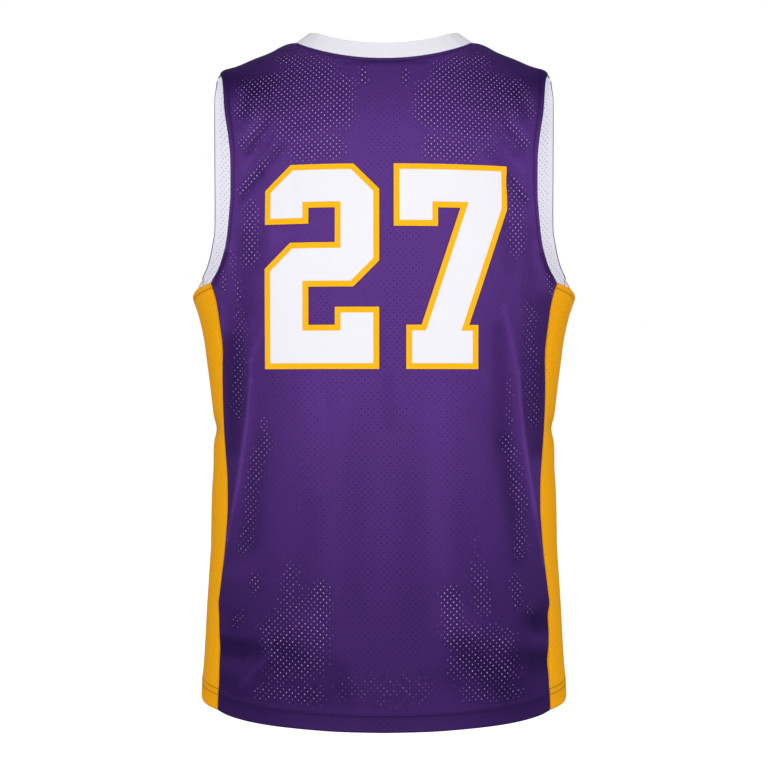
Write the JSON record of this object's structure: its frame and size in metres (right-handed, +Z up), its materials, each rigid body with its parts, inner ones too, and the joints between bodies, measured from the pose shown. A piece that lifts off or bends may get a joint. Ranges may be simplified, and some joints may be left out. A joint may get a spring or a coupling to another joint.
{
  "type": "basketball jersey",
  "caption": "Sleeveless mesh basketball jersey in its worn, hollow shape, with contrasting side panels, a round rib collar and a block number on the back.",
  "frame": {"origin": "midway between the two shoulder seams, 4.6 mm below their neck-side ends, where the wearer's shoulders hold the garment", "axes": "+Z up, +Y the way the wearer faces, so the back with the number faces -Y, and +X the wearer's right"},
  "size_m": [0.4386, 0.2505, 0.7808],
  "materials": {
    "purple_mesh": "open mesh, soft sheen",
    "gold_mesh": "open mesh, soft sheen",
    "white_rib": "fine rib, matte",
    "gold_twill": "smooth, semi-matte",
    "white_twill": "smooth, semi-matte"
  },
  "bodies": {
    "root": {"back_panel": "purple_mesh", "front_panel": "purple_mesh", "side_panel_left": "gold_mesh", "side_panel_right": "gold_mesh", "collar": "white_rib", "number_two_backing": "gold_twill", "number_two_face": "white_twill", "number_seven_backing": "gold_twill", "number_seven_face": "white_twill"}
  },
  "joints": []
}
